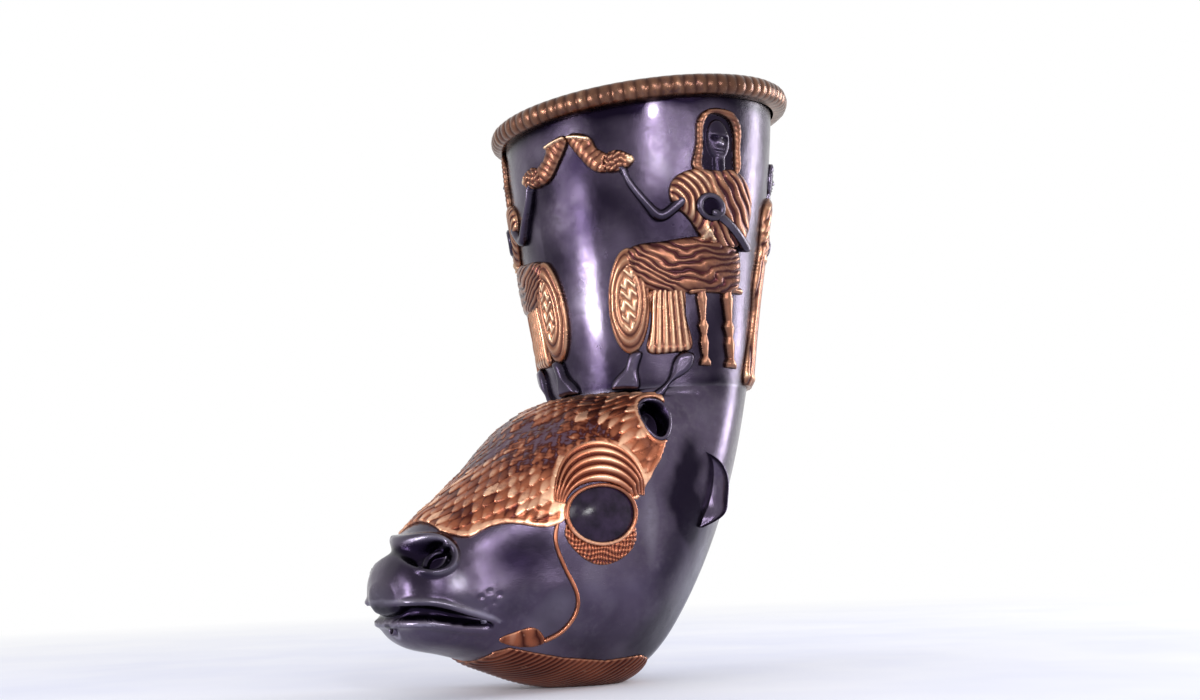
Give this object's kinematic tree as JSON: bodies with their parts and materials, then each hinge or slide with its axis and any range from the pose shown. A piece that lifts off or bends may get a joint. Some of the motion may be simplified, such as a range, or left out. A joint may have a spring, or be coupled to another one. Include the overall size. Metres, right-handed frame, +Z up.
{
  "type": "rhyton drinking cup",
  "caption": "Flaring ribbed-rim drinking cup bent forward into a calf's head, with gilt relief figures round the cup and a spout in the lower lip.",
  "frame": {"origin": "middle of the flat under the jaw, on which the cup rests", "axes": "+Z up, -X the way the muzzle points, -Y towards the animal's left side"},
  "size_m": [0.219, 0.147, 0.278],
  "materials": {
    "silver": "polished silver, tarnished to a dark violet grey",
    "gilt": "worn gilding on silver, orange gold with dark red-brown recesses",
    "eye_inlay": "dark polished inlay"
  },
  "bodies": {
    "root": {"cup_wall": "silver", "calf_head": "silver", "horn_socket_left": "silver", "horn_socket_right": "silver", "spout_tube": "silver", "ear_left": "silver", "ear_right": "silver", "left_sitter_bowl": "silver", "front_sitter_bowl": "silver", "left_sitter_figure": "silver", "front_sitter_figure": "silver", "left_stander_figure": "silver", "right_stander_figure": "silver", "rim_band": "gilt", "jaw_plate": "gilt", "forehead_mask": "gilt", "brow_left": "gilt", "brow_right": "gilt", "eye_rim_left": "gilt", "eye_rim_right": "gilt", "lower_lid_left": "gilt", "lower_lid_right": "gilt", "cheek_wire_left": "gilt", "cheek_wire_right": "gilt", "lip_corner_left": "gilt", "lip_corner_right": "gilt", "left_sitter_dress": "gilt", "left_sitter_stool": "gilt", "left_sitter_horn": "gilt", "front_sitter_dress": "gilt", "front_sitter_stool": "gilt", "front_sitter_horn": "gilt", "left_stander_dress": "gilt", "right_stander_dress": "gilt", "eye_left": "eye_inlay", "eye_right": "eye_inlay"}
  },
  "joints": []
}
